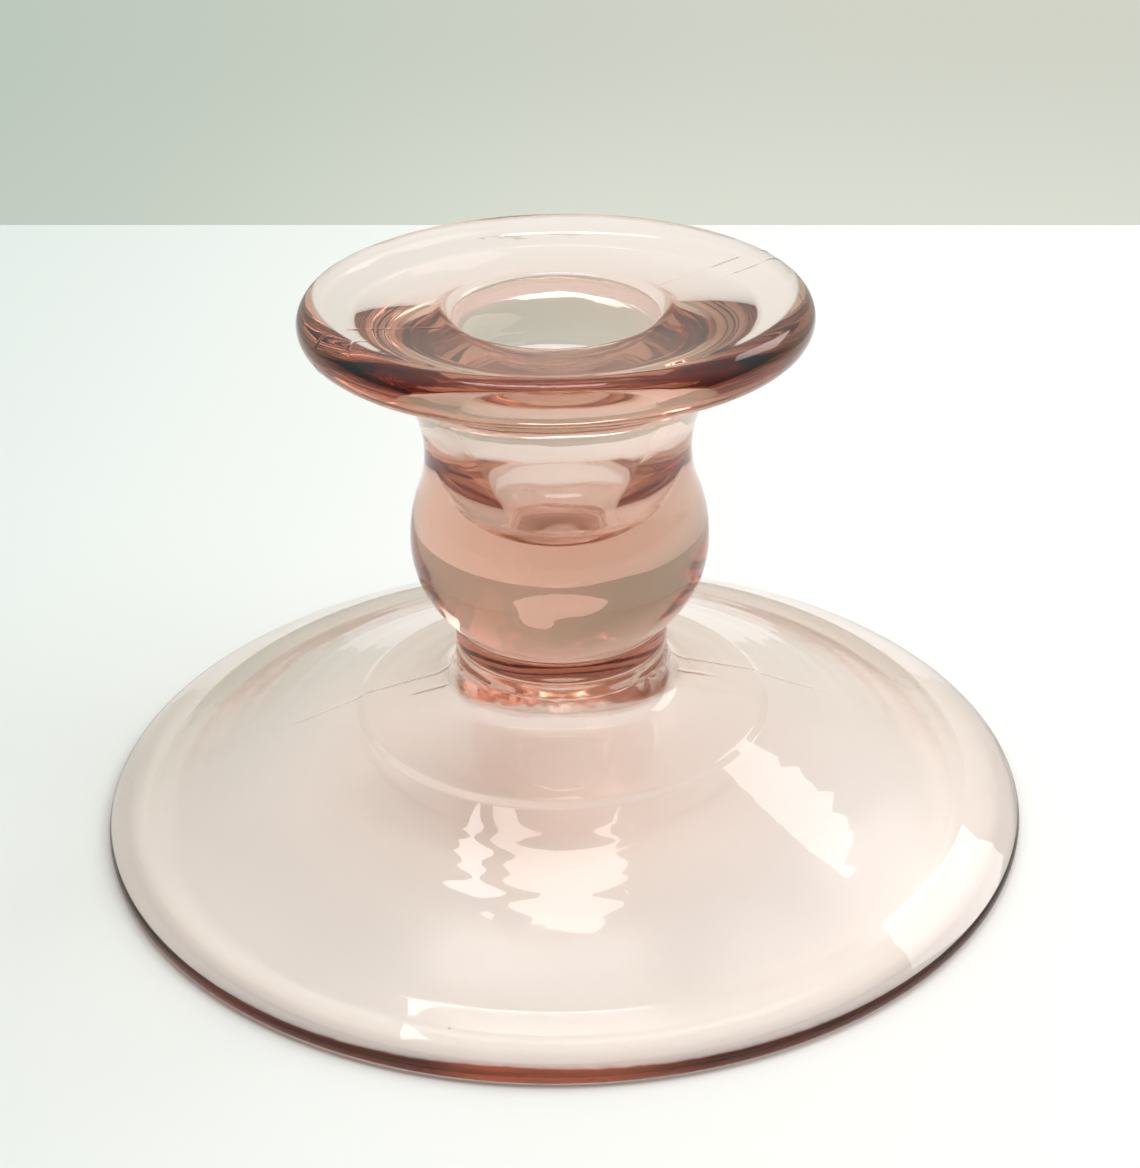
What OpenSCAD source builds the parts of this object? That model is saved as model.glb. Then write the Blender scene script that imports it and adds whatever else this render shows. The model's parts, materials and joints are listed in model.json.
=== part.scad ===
// Low pressed-glass candlestick: a wide foot with a hollow underside, a welded collar,
// and a bulb-shaped candle cup that flares into a drip rim. Every piece is a body of
// revolution about Z, and each one meets the next on a flat welded face.
// Millimetres. The origin is the centre of the ring that the foot stands on.

/* [Foot] */
// Outside diameter of the foot
foot_d = 108; // [100:1:116]
// Thickness of the foot's rounded edge
edge_t = 1.7; // [1.5:0.1:2.4]
// Diameter of the raised boss in the middle of the foot
boss_d = 46.8; // [45:0.2:49]
// Height of the step around the boss
boss_step = 0.65; // [0.4:0.05:0.9]
// Depth of the dome under the foot
hollow_h = 12; // [9:0.5:12]
// Extra depth of the hollow in its middle, below the collar
stem_h = 5; // [1:0.5:5.5]

/* [Collar] */
// Diameter of the collar between the foot and the cup
collar_d = 24.6; // [24:0.1:25.4]
// Height of the collar
collar_h = 4.4; // [4:0.1:4.6]

/* [Candle cup] */
// Largest diameter of the bulb
bulb_d = 33.9; // [33:0.1:35]
// Diameter of the waist above the bulb
waist_d = 29.7; // [29:0.1:30.4]
// Diameter of the socket, for a 22 mm taper candle
socket_d = 22.3; // [22.2:0.1:22.8]
// Height above the table where the socket stops being straight
socket_land_z = 53; // [50:0.5:55]

/* [Drip rim] */
// Outside diameter of the drip rim
rim_d = 55.6; // [54:0.2:58]
// Thickness of the drip rim at its edge
rim_t = 5.2; // [4.4:0.1:5.6]

/* [Hidden] */
$fn = 128;
pale_pink_glass = [0.93, 0.72, 0.66, 0.6];

// Foot: heights and radii along its top, from the edge in to the collar
foot_r = foot_d / 2;
collar_r = collar_d / 2;
boss_r = boss_d / 2;
crease_r = foot_r - 6.3;          // where the slope turns down to the edge
crease_z = 4.2;
slope_r = boss_r + 0.8;           // where the slope meets the step around the boss
slope_z = 12.45;
stem_r = 10;                      // spread of the extra depth in the middle of the hollow
boss_edge_z = slope_z + boss_step;
foot_top_z = 19.2;
fillet_r = 3.7;                   // hollow curve from the boss up to the collar
fillet_x = collar_r + fillet_r;
fillet_end = 254;                 // direction, in degrees, where that curve runs onto the boss
rest_in_r = foot_r - 3.4;         // inner radius of the ring that touches the table

// Candle cup: centres of its round outlines
collar_top_z = foot_top_z + collar_h;
bulb_round = 16.9;
bulb_base_h = 14.2;               // the bulb is a flatter oval below its widest line
bulb_x = bulb_d / 2 - bulb_round;
bulb_z = 33.8;
waist_round = 14;
waist_x = waist_d / 2 + waist_round;
waist_z = 45;
swap_z = bulb_z + (waist_z - bulb_z) * bulb_round / (bulb_round + waist_round);

// Drip rim
rim_edge_r = rim_t / 2;           // radius of its rounded edge
rim_edge_x = rim_d / 2 - rim_edge_r;
rim_edge_z = 60.45;
rim_under_r = 22.4;               // where the hollow curve of the waist runs onto its underside
rim_under_z = waist_z + sqrt(pow(waist_round, 2) - pow(waist_x - rim_under_r, 2));
lip_z = 61;                       // the rim dips this low before its lip rolls into the socket
lip_w = 1.6;
lip_h = 0.9;

// Socket
socket_r = socket_d / 2;
neck_r = 9.8;                     // where the taper below the straight part gets slower
neck_z = 47.4;
well_r = 8.2;                     // radius where the tapered part turns into a round floor
well_z = 39;
well_floor_z = 34.1;

// Points on an elliptical arc about [x, z], from one direction to another, in degrees
function arc(x, z, rx, rz, from, to, steps) =
    [for (i = [0 : steps]) let (a = from + (to - from) * i / steps) [x + rx * cos(a), z + rz * sin(a)]];

// Top of the foot between the boss and the edge, t from 0 to 1 outwards
function slope_height(t) = slope_z - (slope_z - crease_z) * (1.28 * t - 0.08 * t * t - 0.2 * t * t * t);

// Underside of the foot, at a radius
function hollow_height(r) =
    hollow_h * pow(1 - pow(r / rest_in_r, 2), 1.25) + stem_h * exp(-pow(r / stem_r, 2));

module foot() {
    slope = [for (i = [0 : 14]) let (t = i / 14) [slope_r + (crease_r - slope_r) * t, slope_height(t)]];
    edge = arc(foot_r - edge_t / 2, edge_t / 2, edge_t / 2, edge_t / 2, 60, -90, 10);
    hollow = [for (i = [1 : 24]) let (r = rest_in_r * (1 - i / 24)) [r, hollow_height(r)]];
    fillet = arc(fillet_x, foot_top_z, fillet_r, fillet_r, 180, fillet_end, 12);
    boss_edge = arc(boss_r - 0.4, boss_edge_z - 0.4, 0.4, 0.4, 75, 0, 3);
    color(pale_pink_glass)
        rotate_extrude()
            polygon(concat([[0, foot_top_z]], fillet, boss_edge, slope, edge, [[rest_in_r, 0]], hollow));
}

module collar() {
    groove_z = foot_top_z + 1.6;
    groove_round = 0.6;
    color(pale_pink_glass)
        rotate_extrude()
            difference() {
                translate([0, foot_top_z]) square([collar_r, collar_h]);
                translate([collar_r + 0.35, groove_z]) circle(groove_round);
            }
}

module bulb_outline() {
    intersection() {
        translate([bulb_x, bulb_z]) circle(bulb_round);
        translate([0, bulb_z]) square([bulb_round * 2, swap_z - bulb_z]);
    }
    intersection() {
        translate([bulb_x, bulb_z]) scale([1, bulb_base_h / bulb_round]) circle(bulb_round);
        translate([0, collar_top_z]) square([bulb_round * 2, swap_z - collar_top_z]);
    }
    translate([0, collar_top_z]) square([collar_r, 0.6]);
}

module waist_outline() {
    difference() {
        translate([0, swap_z]) square([rim_under_r, rim_under_z - swap_z]);
        translate([waist_x, waist_z]) circle(waist_round);
    }
}

module rim_outline() {
    edge = arc(rim_edge_x, rim_edge_z, rim_edge_r, rim_edge_r, -72, 96, 14);
    lip = arc(socket_r + lip_w, lip_z - lip_h, lip_w, lip_h, 90, 180, 8);
    polygon(concat([[0, rim_under_z], [rim_under_r, rim_under_z]], edge, lip, [[0, lip_z - lip_h]]));
}

module socket_outline() {
    top_z = rim_edge_z + rim_t;
    land = [[0, top_z], [socket_r, top_z], [socket_r, socket_land_z]];
    floor_curve = arc(0, well_z, well_r, well_z - well_floor_z, 0, -90, 12);
    polygon(concat(land, [[neck_r, neck_z]], floor_curve));
}

module candle_cup() {
    color(pale_pink_glass)
        rotate_extrude()
            difference() {
                union() {
                    bulb_outline();
                    waist_outline();
                    rim_outline();
                }
                socket_outline();
            }
}

foot();
collar();
candle_cup();
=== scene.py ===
"""Pressed-glass candlestick: three welded glass pieces, the table, the lights and the camera."""

import json
from math import acos, atan2, cos, degrees, exp, hypot, pi, radians, sin, tan

import bmesh
import bpy
from mathutils import Matrix, Quaternion, Vector, noise


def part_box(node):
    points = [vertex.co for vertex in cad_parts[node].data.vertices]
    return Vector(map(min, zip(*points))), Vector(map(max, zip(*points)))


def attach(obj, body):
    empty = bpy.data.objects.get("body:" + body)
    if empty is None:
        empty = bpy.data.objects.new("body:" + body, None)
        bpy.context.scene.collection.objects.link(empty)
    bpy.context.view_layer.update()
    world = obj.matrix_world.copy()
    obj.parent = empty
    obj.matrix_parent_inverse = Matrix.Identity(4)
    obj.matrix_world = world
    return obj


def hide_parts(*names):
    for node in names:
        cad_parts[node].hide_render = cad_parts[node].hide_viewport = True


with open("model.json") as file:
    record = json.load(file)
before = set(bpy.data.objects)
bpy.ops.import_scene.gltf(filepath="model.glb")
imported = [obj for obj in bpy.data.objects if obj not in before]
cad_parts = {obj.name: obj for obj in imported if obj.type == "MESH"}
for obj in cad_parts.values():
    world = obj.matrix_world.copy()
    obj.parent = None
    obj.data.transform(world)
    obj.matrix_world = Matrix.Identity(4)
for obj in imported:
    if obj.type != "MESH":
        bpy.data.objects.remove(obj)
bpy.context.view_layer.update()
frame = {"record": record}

MM = 0.001
scene = bpy.context.scene

# ---------------------------------------------------------------- camera


def make_camera():
    """The photograph's own viewpoint, a little above the rim and about 0.25 m away."""
    data = bpy.data.cameras.new("camera")
    data.sensor_width = 36
    data.lens = 64.05
    camera = bpy.data.objects.new("camera", data)
    scene.collection.objects.link(camera)
    place = Matrix.Translation((1.08 * MM, -210.96 * MM, 139.2 * MM))
    pitch = Matrix.Rotation(radians(90 - 27.95), 4, "X")
    roll = Matrix.Rotation(radians(-0.88), 4, "Z")
    camera.matrix_world = place @ pitch @ roll
    scene.camera = camera


make_camera()

# ---------------------------------------------------------------- sizes, in mm

foot_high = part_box("foot")[1] / MM
collar_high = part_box("collar")[1] / MM
cup_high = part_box("candle_cup")[1] / MM
mounts = {mount["name"]: mount for mount in frame["record"]["mounts"]}

FOOT_R = foot_high.y
FOOT_TOP = foot_high.z
COLLAR_R = collar_high.y
COLLAR_TOP = collar_high.z
RIM_R = cup_high.y
RIM_TOP = cup_high.z
SOCKET_R = mounts["candle_socket"]["dims"]["r_mm"]

WELD_GAP = 0.01                   # half the space inside a weld, so that no two faces share a plane

# ---------------------------------------------------------------- outlines


def arc(x, z, rx, rz, start, end, steps):
    """Points on an elliptical arc about (x, z), from one direction to another in degrees."""
    turns = [radians(start + (end - start) * i / steps) for i in range(steps + 1)]
    return [(x + rx * cos(a), z + rz * sin(a)) for a in turns]


def straight(start, end, steps):
    """Points from start to end, both included."""
    (r0, z0), (r1, z1) = start, end
    return [(r0 + (r1 - r0) * i / steps, z0 + (z1 - z0) * i / steps) for i in range(steps + 1)]


def rounded(before, corner, after, radius, steps=5):
    """The corner of a line from before to after, rounded to a radius."""
    b, c, a = Vector(before), Vector(corner), Vector(after)
    u, v = (b - c).normalized(), (a - c).normalized()
    half = u.angle(v) / 2
    reach = radius / tan(half)
    centre = c + (u + v).normalized() * (radius / sin(half))
    start, end = c + u * reach - centre, c + v * reach - centre
    points = []
    for i in range(steps + 1):
        mixed = start.lerp(end, i / steps).normalized() * radius
        points.append(tuple(centre + mixed))
    return points


def weld(radius, height, side):
    """The face of a weld, from its axis out to its rim, set back a hair on its own side."""
    inner = height + side * WELD_GAP
    return [(0, inner), (radius * 0.5, inner), (radius - 0.4, inner), (radius, height)]


def hollow_outline():
    """The underside: a dome that follows the top, and rises again below the collar."""
    dome_h, stem_h, stem_r = 12.0, 5.0, 10.0
    rest_in = FOOT_R - 3.4
    steps = 70
    points = []
    for i in range(steps + 1):
        r = rest_in * (1 - i / steps)
        dome = dome_h * (1 - (r / rest_in) ** 2) ** 1.25
        points.append((r, dome + stem_h * exp(-((r / stem_r) ** 2))))
    points[0] = (rest_in, 0)
    return points


def foot_outline():
    """Runs of (r, z) points from the weld at the top, round the edge, to the middle of the hollow."""
    boss_r, slope_r, crease_r = 23.4, 24.2, FOOT_R - 6.3
    slope_z, crease_z, boss_edge_z = 12.45, 4.2, 13.1
    edge_round, fillet_r, fillet_end = 0.85, 3.7, 254
    slope_steps = 61
    fillet = arc(COLLAR_R + fillet_r, FOOT_TOP, fillet_r, fillet_r, 180, fillet_end, 20)
    boss_edge = rounded(fillet[-1], (boss_r, boss_edge_z), (slope_r, slope_z), 1.2, 8)
    boss_foot = rounded((boss_r, boss_edge_z), (slope_r, slope_z), (slope_r + 3, slope_z - 1.3), 0.9)
    slope = []
    for i in range(1, slope_steps):
        t = i / slope_steps
        fall = 1.28 * t - 0.08 * t * t - 0.2 * t ** 3
        slope.append((slope_r + (crease_r - slope_r) * t, slope_z - (slope_z - crease_z) * fall))
    edge = arc(FOOT_R - edge_round, edge_round, edge_round, edge_round, 60, -90, 16)
    crease = rounded(slope[-1], (crease_r, crease_z), edge[0], 1.6, 8)
    hollow = hollow_outline()
    skin = (
        fillet + straight(fillet[-1], boss_edge[0], 16)[1:-1] + boss_edge + boss_foot + slope[1:-1]
        + crease + straight(crease[-1], edge[0], 8)[1:-1] + edge + straight(edge[-1], hollow[0], 4)
    )
    return [(weld(COLLAR_R, FOOT_TOP, -1), "weld"), (skin, "bright"), (hollow, "dull")]


def collar_outline():
    """A short ring of glass with one groove round it."""
    groove_z, groove_deep, groove_half = FOOT_TOP + 1.6, 0.28, 0.55
    steps = 36
    side = []
    for i in range(steps + 1):
        z = COLLAR_TOP - (COLLAR_TOP - FOOT_TOP) * i / steps
        dip = groove_deep * exp(-((z - groove_z) / groove_half * 1.6) ** 2)
        side.append((COLLAR_R - dip, z))
    top = weld(COLLAR_R, COLLAR_TOP, -1)
    bottom = weld(COLLAR_R, FOOT_TOP, 1)[::-1]
    return [(top, "weld"), (side, "bright"), (bottom, "weld")]


def cup_outline():
    """Runs of (r, z) points from the socket's floor, up and over the rim, down to the weld."""
    well_r, well_z, well_floor = 8.2, 39.0, 34.1
    neck_r, neck_z, land_z = 9.8, 47.4, 53.0
    lip_z, lip_w, lip_h = 61.0, 1.6, 0.9
    edge_round = 2.6
    edge_x, edge_z = RIM_R - edge_round, RIM_TOP - edge_round
    bulb_r, bulb_x, bulb_z = 16.9, 0.05, 33.8
    base_h, bead_r = 14.2, 0.1
    waist_r, waist_round, waist_z = 14.85, 14.0, 45.0
    waist_x = waist_r + waist_round
    swap = degrees(atan2(waist_z - bulb_z, waist_x - bulb_x))
    under_r = 22.4
    under_turn = 180 - degrees(acos((waist_x - under_r) / waist_round))
    floor = arc(0, well_z, well_r, well_z - well_floor, -90, 0, 24)
    taper = straight(floor[-1], (neck_r, neck_z), 8) + straight((neck_r, neck_z), (SOCKET_R, land_z), 6)[1:]
    land = straight((SOCKET_R, land_z), (SOCKET_R, lip_z - lip_h), 12)
    lip = arc(SOCKET_R + lip_w, lip_z - lip_h, lip_w, lip_h, 180, 90, 12)
    edge = arc(edge_x, edge_z, edge_round, edge_round, 96, -72, 24)
    top = straight(lip[-1], edge[0], 20)
    waist = arc(waist_x, waist_z, waist_round, waist_round, under_turn, 180 + swap, 48)
    under = straight(edge[-1], waist[0], 6)
    bulb = arc(bulb_x, bulb_z, bulb_r, bulb_r, swap, 0, 30)
    bead_x = COLLAR_R - 0.05
    base_turn = -degrees(acos((bead_x - bulb_x) / bulb_r))
    base = arc(bulb_x, bulb_z, bulb_r, base_h, 0, base_turn, 44)
    bead = arc(bead_x, COLLAR_TOP + bead_r, bead_r, bead_r, 60, -70, 10)
    skin = (
        floor + taper[1:-1] + land[:-1] + lip + top[1:-1] + edge + under[1:-1]
        + waist + bulb[1:] + base[1:-1] + bead + [(COLLAR_R, COLLAR_TOP)]
    )
    return [(skin, "bright"), (weld(COLLAR_R, COLLAR_TOP, 1)[::-1], "weld")]


# ---------------------------------------------------------------- lathe-turned glass

FOOT_SEAMS = (radians(180.0), radians(10.3))
CUP_SEAMS = (radians(27.0), radians(207.0))
SEAM_STEPS = (-1.8, -1.2, -0.8, -0.5, -0.25, 0, 0.25, 0.5, 0.8, 1.2, 1.8)


def turns_round(seams, count=256):
    """Directions for a lathe's spokes, evenly spaced and crowded together at the mould seams."""
    turns = {round(2 * pi * i / count, 6) for i in range(count)}
    for seam in seams:
        turns = {t for t in turns if abs((t - seam + pi) % (2 * pi) - pi) > radians(2.0)}
        turns |= {round((seam + radians(step)) % (2 * pi), 6) for step in SEAM_STEPS}
    return sorted(turns)


def ripple(r, z, turn, size, seed):
    """Slow, smooth unevenness of hand-finished glass, from -1 to 1."""
    at = Vector((r * cos(turn), r * sin(turn), z)) / size
    return noise.noise(at + Vector((seed, 0, 0)))


def seam_height(r, turn, seams, height, width):
    """A fine ridge across the surface at each mould seam."""
    total = 0
    for seam in seams:
        across = r * ((turn - seam + pi) % (2 * pi) - pi)
        total += height * exp(-(across / width) ** 2)
    return total


def ring_marks(r, turn, seed):
    """Fine rings left on pressed glass by the turned mould, stronger on one side than another."""
    wave = sin(r * 1.62 + seed) + 0.6 * sin(r * 2.71 + seed * 2.3)
    lift = 0.55 + 0.45 * ripple(r, 0, turn, 16, seed)
    return 0.011 * wave * lift


def share(value):
    """A value held between 0 and 1."""
    return min(1, max(0, value))


def foot_relief(r, z, turn):
    """Ripple and rings on both sides, a seam across the top, and a wrinkled line at the collar."""
    if z < 0.4 or r > FOOT_R - 0.9:
        return 0
    between_sides = 10.6 - max(0, r - 23.5) * 0.38
    rise = 0.05 * ripple(r, z, turn, 14, 3) if r > COLLAR_R + 0.5 else 0
    if z <= between_sides or r <= COLLAR_R:
        rise += 0.4 * ring_marks(r, turn, 9) * share(r / 20)
        return rise + 0.07 * ripple(r, z, turn, 4.5, 23) * share(1 - r / 24)
    rise += ring_marks(r, turn, 5) * share((r - 15) / 4)
    rise += share((33.5 - r) / 3) * seam_height(r, turn, FOOT_SEAMS, 0.045, 0.22)
    if r < COLLAR_R + 0.8:
        rise += 0.16 * ripple(r, z, turn, 1.1, 7) * share((z - 17.5) / 1.2)
    return rise


def collar_relief(r, z, turn):
    """Slight ripple round the collar, wrinkled inwards just above the foot."""
    if r < COLLAR_R - 0.35:
        return 0
    low = share(1 - (z - FOOT_TOP) / 0.6)
    return -0.03 + 0.03 * ripple(r, z, turn, 6, 11) - low * 0.12 * abs(ripple(r, z, turn, 0.9, 13))


def cup_relief(r, z, turn):
    """Ripple inside the socket and round the cup, and seams on the underside of the rim."""
    if r < SOCKET_R + 0.05 and z > COLLAR_TOP + 1:
        return 0.05 * ripple(r, z, turn, 9, 17) + 0.05 * ripple(r, z, turn, 2.6, 31)
    if z > RIM_TOP - 0.15 or r > RIM_R - 0.1:
        return 0
    if z < COLLAR_TOP + 0.05 and r < COLLAR_R + 0.05:
        return 0
    rise = 0.05 * ripple(r, z, turn, 12, 19)
    near_base = share((33 - z) / 4) * share((z - COLLAR_TOP - 0.1) / 1.5)
    rise += 0.09 * ripple(r, z, turn, 5, 29) * near_base
    if r > SOCKET_R + 1:
        rise += seam_height(r, turn, CUP_SEAMS, 0.05, 0.15) * share((z - 56) / 3)
    return rise


def lathe(name, runs, seams, relief):
    """A closed body of revolution. Each run is (points, kind), and the faces of a kind are marked."""
    outline, kinds = [], []
    for points, kind in runs:
        for point in points:
            if outline and hypot(point[0] - outline[-1][0], point[1] - outline[-1][1]) < 1e-5:
                continue
            if outline:
                kinds.append(kind)
            outline.append(point)
    turns = turns_round(seams)
    bm = bmesh.new()
    marks = {kind: bm.faces.layers.float.new(kind) for kind in ("weld", "dull")}
    rings = []
    last = len(outline) - 1
    for i, (r, z) in enumerate(outline):
        if r < 1e-6:
            rings.append([bm.verts.new((0, 0, z * MM))])
            continue
        (r0, z0), (r1, z1) = outline[max(0, i - 1)], outline[min(last, i + 1)]
        along = Vector((r1 - r0, z1 - z0)).normalized()
        out_r, out_z = -along.y, along.x
        ring = []
        for turn in turns:
            rise = relief(r, z, turn)
            x = (r + out_r * rise) * MM
            ring.append(bm.verts.new((x * cos(turn), x * sin(turn), (z + out_z * rise) * MM)))
        rings.append(ring)
    count = len(turns)
    for a, b, kind in zip(rings, rings[1:], kinds):
        for j in range(count):
            k = (j + 1) % count
            if len(a) == 1:
                corners = (a[0], b[j], b[k])
            elif len(b) == 1:
                corners = (a[j], b[0], a[k])
            else:
                corners = (a[j], b[j], b[k], a[k])
            face = bm.faces.new(corners)
            face.smooth = True
            for name_of_mark, layer in marks.items():
                face[layer] = 1.0 if name_of_mark == kind else 0.0
    for edge in bm.edges:
        if edge.calc_face_angle(0) > radians(35):
            edge.smooth = False
    mesh = bpy.data.meshes.new(name)
    bm.to_mesh(mesh)
    bm.free()
    piece = bpy.data.objects.new(name, mesh)
    scene.collection.objects.link(piece)
    return piece


# ---------------------------------------------------------------- materials


class Nodes:
    """A short way to build a node tree."""

    def __init__(self, tree):
        self.tree = tree
        tree.nodes.clear()

    def add(self, kind, **settings):
        node = self.tree.nodes.new(kind)
        for key, value in settings.items():
            setattr(node, key, value)
        return node

    def link(self, source, target):
        self.tree.links.new(source, target)

    def set(self, node, **values):
        for name, value in values.items():
            node.inputs[name.replace("_", " ")].default_value = value
        return node


def surface_roughness(n, place):
    """Polished on top with faint hazy wear, and duller underneath, where the mould left it."""
    haze = n.add("ShaderNodeTexNoise", noise_dimensions="3D")
    n.set(haze, Scale=60.0, Detail=5.0, Roughness=0.62)
    n.link(place, haze.inputs["Vector"])
    worn = n.add("ShaderNodeMapRange", interpolation_type="SMOOTHSTEP")
    n.set(worn, From_Min=0.52, From_Max=0.78, To_Min=0.0, To_Max=0.06)
    n.link(haze.outputs["Fac"], worn.inputs["Value"])
    underside = n.add("ShaderNodeAttribute", attribute_name="dull")
    dull = n.add("ShaderNodeMath", operation="MULTIPLY_ADD")
    n.link(underside.outputs["Fac"], dull.inputs[0])
    dull.inputs[1].default_value = 0.16
    n.link(worn.outputs["Result"], dull.inputs[2])
    return dull.outputs["Value"]


def specks(n, place):
    """Sparse dark specks of dust and seed, a fraction of a millimetre across."""
    cells = n.add("ShaderNodeTexVoronoi", feature="F1")
    n.set(cells, Scale=95.0, Randomness=1.0)
    n.link(place, cells.inputs["Vector"])
    pick = n.add("ShaderNodeSeparateColor")
    n.link(cells.outputs["Color"], pick.inputs["Color"])
    size = n.add("ShaderNodeMapRange")
    n.set(size, From_Min=0.62, From_Max=1.0, To_Min=0.0, To_Max=0.026)
    n.link(pick.outputs["Red"], size.inputs["Value"])
    inside = n.add("ShaderNodeMath", operation="LESS_THAN")
    n.link(cells.outputs["Distance"], inside.inputs[0])
    n.link(size.outputs["Result"], inside.inputs[1])
    tone = n.add("ShaderNodeMix", data_type="RGBA")
    tone.inputs[6].default_value = (1, 1, 1, 1)
    tone.inputs[7].default_value = (0.30, 0.22, 0.18, 1)
    n.link(inside.outputs["Value"], tone.inputs["Factor"])
    return tone.outputs[2]


def fine_relief(n, place):
    """Soft unevenness a millimetre or two across."""
    soft = n.add("ShaderNodeTexNoise", noise_dimensions="3D")
    n.set(soft, Scale=420.0, Detail=2.0, Roughness=0.5)
    n.link(place, soft.inputs["Vector"])
    bump = n.add("ShaderNodeBump")
    n.set(bump, Strength=0.25, Distance=0.00002)
    n.link(soft.outputs["Fac"], bump.inputs["Height"])
    return bump.outputs["Normal"]


def glass_material():
    """Clear glass that is pink by depth, with fine scuffs and no reflection inside a weld."""
    material = bpy.data.materials.new("pink_glass")
    material.use_nodes = True
    n = Nodes(material.node_tree)
    output = n.add("ShaderNodeOutputMaterial")
    glass = n.add("ShaderNodeBsdfPrincipled")
    n.set(glass, Base_Color=(1, 1, 1, 1), Roughness=0.0, Transmission_Weight=1.0)
    n.link(glass.outputs["BSDF"], output.inputs["Surface"])
    depth = n.add("ShaderNodeVolumeAbsorption")
    n.set(depth, Color=(0.74, 0.38, 0.20, 1), Density=50.0)
    n.link(depth.outputs["Volume"], output.inputs["Volume"])
    place = n.add("ShaderNodeTexCoord").outputs["Object"]
    n.link(surface_roughness(n, place), glass.inputs["Roughness"])
    n.link(specks(n, place), glass.inputs["Base Color"])
    n.link(fine_relief(n, place), glass.inputs["Normal"])
    weld_mark = n.add("ShaderNodeAttribute", attribute_name="weld")
    index = n.add("ShaderNodeMapRange")
    n.set(index, From_Min=0.0, From_Max=1.0, To_Min=1.5, To_Max=1.0001)
    n.link(weld_mark.outputs["Fac"], index.inputs["Value"])
    n.link(index.outputs["Result"], glass.inputs["IOR"])
    return material


def table_material():
    """Matt white paint, with painted shade: darker and cooler towards the left, where less light falls."""
    material = bpy.data.materials.new("white_table")
    material.use_nodes = True
    n = Nodes(material.node_tree)
    output = n.add("ShaderNodeOutputMaterial")
    paint = n.add("ShaderNodeBsdfPrincipled")
    n.set(paint, Roughness=0.9, Specular_IOR_Level=0.1)
    place = n.add("ShaderNodeTexCoord")
    split = n.add("ShaderNodeSeparateXYZ")
    n.link(place.outputs["Object"], split.inputs["Vector"])
    # Painted shade: the colour darkens and cools towards the left in place of the light falling off across
    # the table.
    painted_shade_left = n.add("ShaderNodeMapRange", interpolation_type="SMOOTHSTEP")
    n.set(painted_shade_left, From_Min=-0.16, From_Max=0.07)
    n.link(split.outputs["X"], painted_shade_left.inputs["Value"])
    tone = n.add("ShaderNodeMix", data_type="RGBA")
    tone.inputs[6].default_value = (0.74, 0.81, 0.79, 1)
    tone.inputs[7].default_value = (0.92, 0.92, 0.905, 1)
    n.link(painted_shade_left.outputs["Result"], tone.inputs["Factor"])
    n.link(tone.outputs[2], paint.inputs["Base Color"])
    n.link(paint.outputs["BSDF"], output.inputs["Surface"])
    return material


# ---------------------------------------------------------------- the candlestick

pink_glass = glass_material()
PIECES = (
    ("glass_foot", "foot", foot_outline(), FOOT_SEAMS, foot_relief),
    ("glass_collar", "collar", collar_outline(), (), collar_relief),
    ("glass_candle_cup", "candle_cup", cup_outline(), CUP_SEAMS, cup_relief),
)
for piece_name, node_name, runs, seams, relief in PIECES:
    piece = lathe(piece_name, runs, seams, relief)
    piece.data.materials.append(pink_glass)
    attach(piece, "root")
    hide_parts(node_name)

# ---------------------------------------------------------------- table, lights and surroundings


def make_table():
    """A plain white table top whose back edge passes 0.21 m behind the candlestick."""
    below_foot = -0.00004
    corner_points = ((-1.6, -1.6), (1.6, -1.6), (1.6, 0.1345), (-1.6, 0.2932))
    mesh = bpy.data.meshes.new("table")
    bm = bmesh.new()
    corners = [bm.verts.new((x, y, below_foot)) for x, y in corner_points]
    bm.faces.new(corners)
    bm.to_mesh(mesh)
    bm.free()
    table = bpy.data.objects.new("table", mesh)
    table.data.materials.append(table_material())
    scene.collection.objects.link(table)


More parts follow.
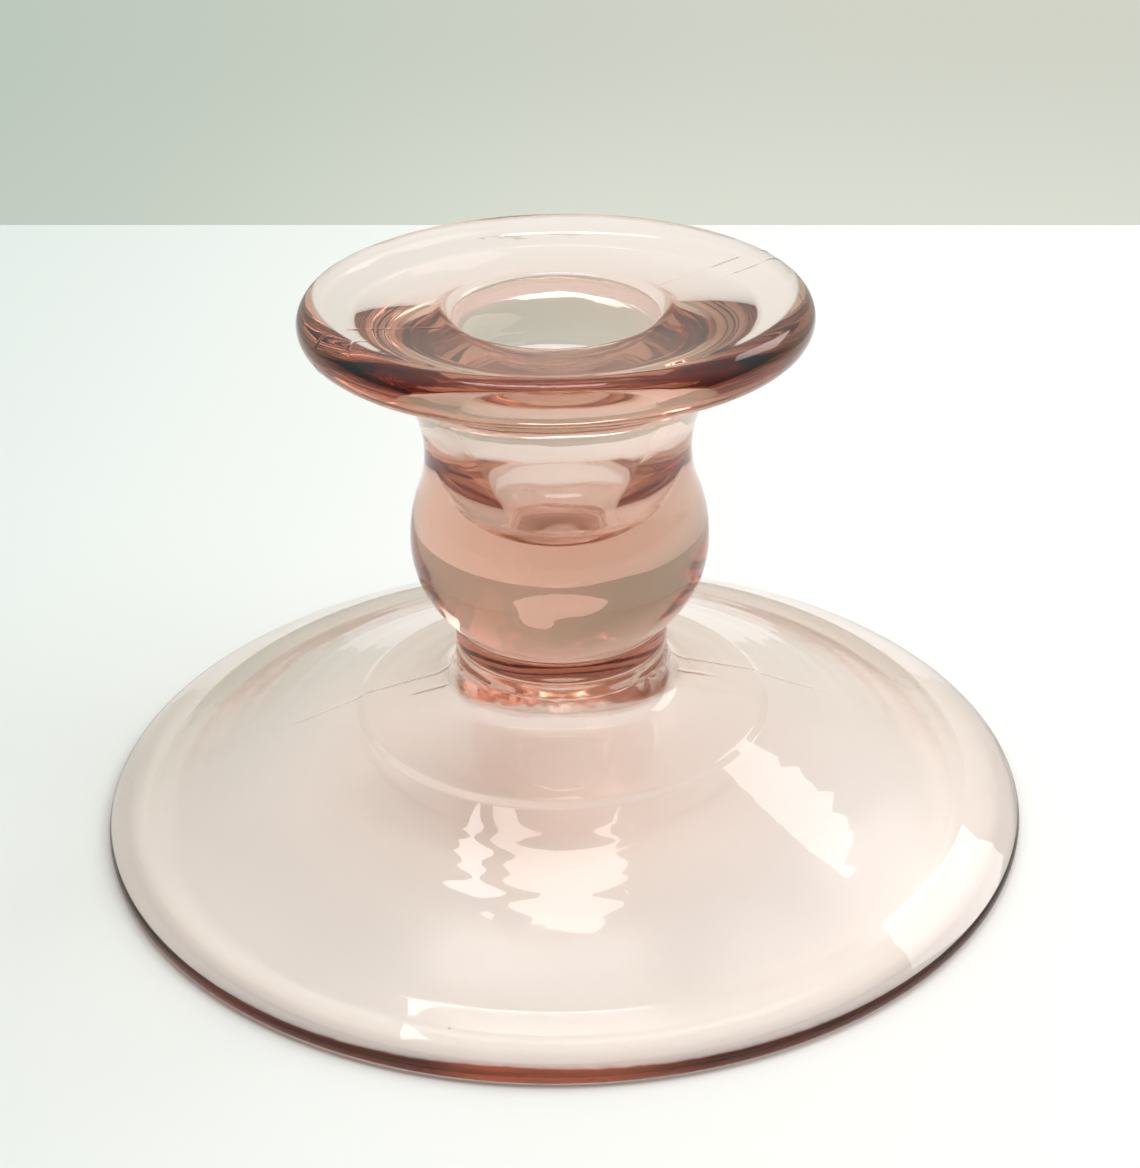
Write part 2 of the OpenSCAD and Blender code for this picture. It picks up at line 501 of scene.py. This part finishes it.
def panel(name, azimuth, elevation, distance, width, height, radiance, turn=0):
    """A soft rectangular light that faces the candlestick from a direction in degrees."""
    data = bpy.data.lights.new(name, "AREA")
    data.shape = "RECTANGLE"
    data.size, data.size_y = width, height
    data.energy = radiance * pi * width * height
    light = bpy.data.objects.new(name, data)
    a, e = radians(azimuth), radians(elevation)
    towards = Vector((cos(e) * cos(a), cos(e) * sin(a), sin(e)))
    light.location = towards * distance + Vector((0, 0, 0.02))
    light.rotation_mode = "QUATERNION"
    light.rotation_quaternion = towards.to_track_quat("Z", "Y") @ Quaternion((0, 0, 1), radians(turn))
    scene.collection.objects.link(light)
    return light


def make_world():
    """A pale room: a grey-green wall behind, a light ceiling, and a dimmer side behind the camera."""
    world = bpy.data.worlds.new("room")
    scene.world = world
    world.use_nodes = True
    n = Nodes(world.node_tree)
    output = n.add("ShaderNodeOutputWorld")
    background = n.add("ShaderNodeBackground")
    n.link(background.outputs["Background"], output.inputs["Surface"])
    coordinates = n.add("ShaderNodeTexCoord")
    split = n.add("ShaderNodeSeparateXYZ")
    n.link(coordinates.outputs["Generated"], split.inputs["Vector"])

    def blend(axis, low, high, first, second):
        reach = n.add("ShaderNodeMapRange", interpolation_type="SMOOTHSTEP")
        n.set(reach, From_Min=low, From_Max=high)
        n.link(split.outputs[axis], reach.inputs["Value"])
        mix = n.add("ShaderNodeMix", data_type="RGBA")
        n.link(reach.outputs["Result"], mix.inputs["Factor"])
        for socket, value in ((mix.inputs[6], first), (mix.inputs[7], second)):
            if isinstance(value, tuple):
                socket.default_value = (*value, 1)
            else:
                n.link(value, socket)
        return mix.outputs[2]

    high_wall = blend("X", -0.35, 0.15, (0.50, 0.575, 0.50), (0.64, 0.655, 0.575))
    low_wall = blend("X", -0.30, 0.05, (0.545, 0.605, 0.53), (0.72, 0.75, 0.66))
    wall = blend("Z", -0.33, -0.22, low_wall, high_wall)
    ceiling = blend("Z", 0.15, 0.7, wall, (0.95, 0.96, 0.95))
    room = blend("Y", -0.55, 0.1, (0.34, 0.31, 0.27), ceiling)
    n.link(room, background.inputs["Color"])
    n.set(background, Strength=1.0)


make_table()
make_world()
panel("overhead", 121, 80.5, 1.2, 0.60, 0.20, 6.0, turn=-30)
panel("window_right", 36, 37, 1.3, 0.42, 0.50, 3.4)
panel("fill_right", -8, 48, 0.66, 0.5, 0.5, 2.0).visible_glossy = False

scene.view_settings.view_transform = "Standard"
scene.cycles.max_bounces = 24
scene.cycles.transmission_bounces = 20
scene.cycles.glossy_bounces = 10
scene.cycles.transparent_max_bounces = 8
scene.cycles.blur_glossy = 0.0
